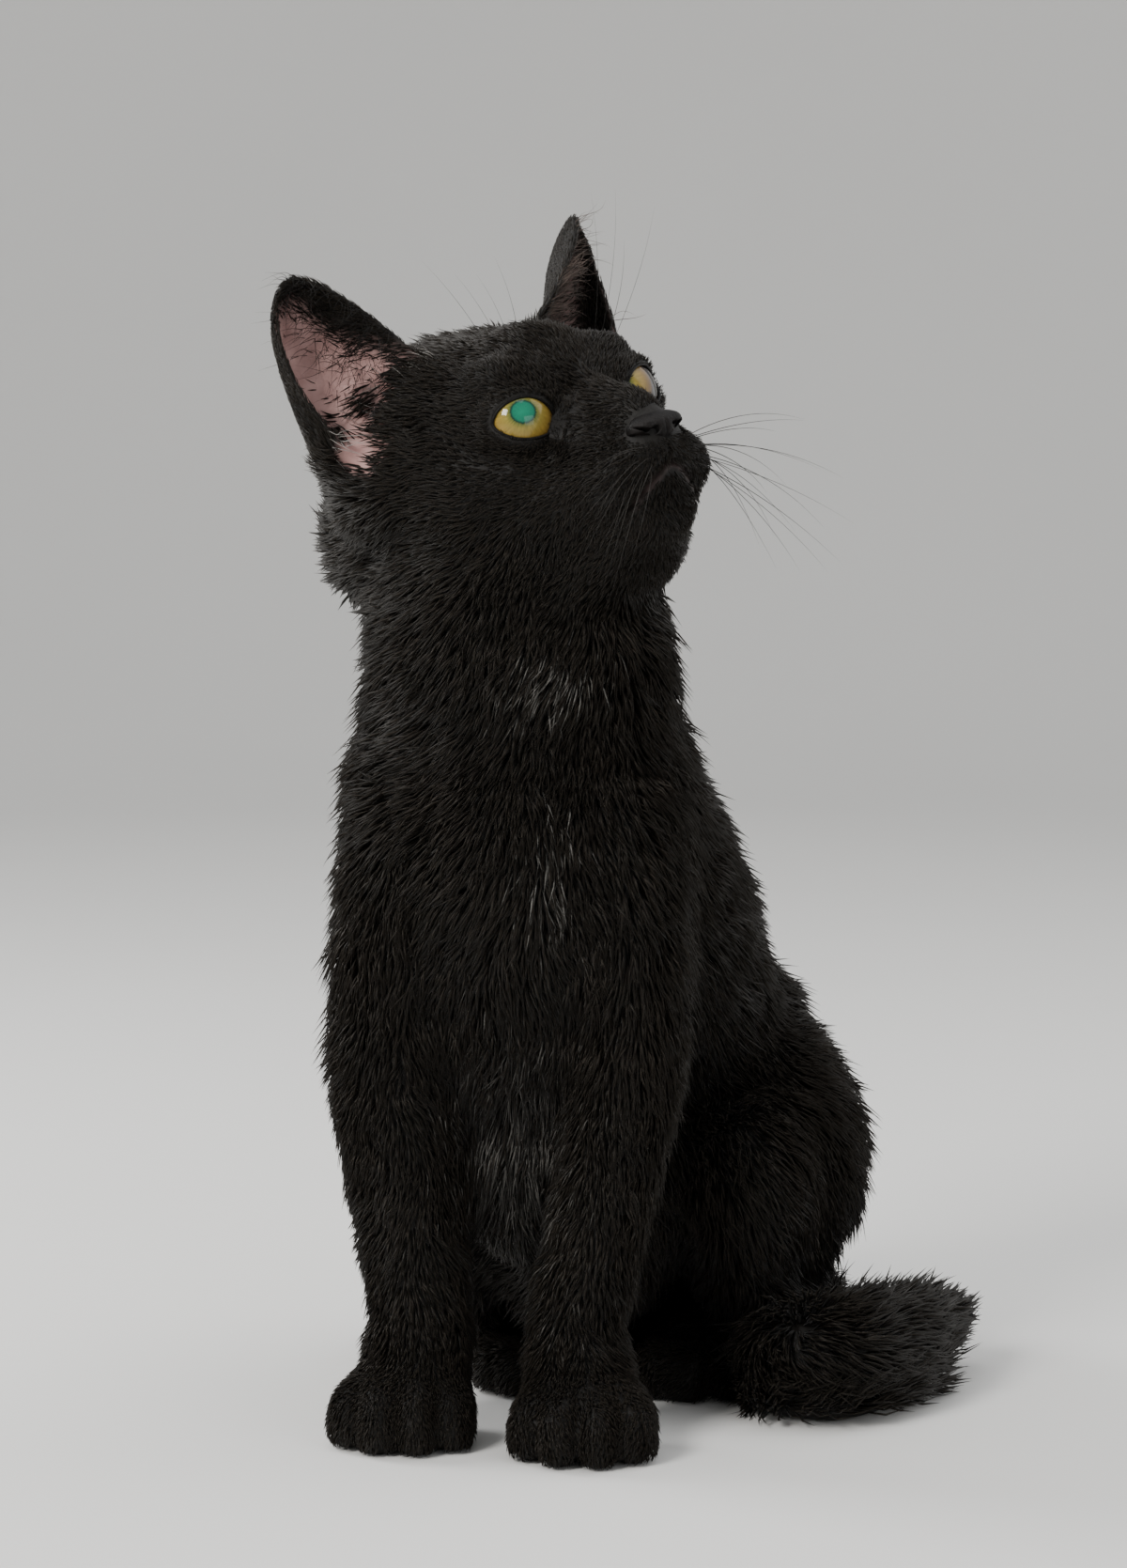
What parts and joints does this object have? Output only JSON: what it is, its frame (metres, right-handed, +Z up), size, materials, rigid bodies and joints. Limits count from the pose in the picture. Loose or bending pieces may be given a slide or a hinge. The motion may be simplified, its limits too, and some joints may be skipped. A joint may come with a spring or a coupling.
{
  "type": "cat",
  "caption": "Still life-size model of a black kitten, seated with straight forelegs, its head raised and turned to its left and its tail laid beside its foot.",
  "frame": {"origin": "middle of the box round the whole kitten, on the floor that it sits on", "axes": "+Z up, -Y the way its chest faces, +X to the kitten's own left"},
  "size_m": [0.1606, 0.1664, 0.2898],
  "materials": {
    "coat": "short plush fur, near black with a soft grey sheen",
    "ear": "bare mauve pink skin inside, black fur outside",
    "eye": "clear wet cornea over an amber iris",
    "nose": "damp, finely pebbled black skin"
  },
  "bodies": {
    "root": {"barrel": "coat", "chest": "coat", "ear_left": "ear", "ear_right": "ear", "eye_left": "eye", "eye_right": "eye", "foreleg_left": "coat", "foreleg_right": "coat", "forepaw_left": "coat", "forepaw_right": "coat", "head": "coat", "hindfoot_left": "coat", "hindfoot_right": "coat", "neck": "coat", "nose": "nose", "rump": "coat", "tail_end": "coat", "tail_middle": "coat", "tail_root": "coat", "thigh_left": "coat", "thigh_right": "coat"}
  },
  "joints": []
}
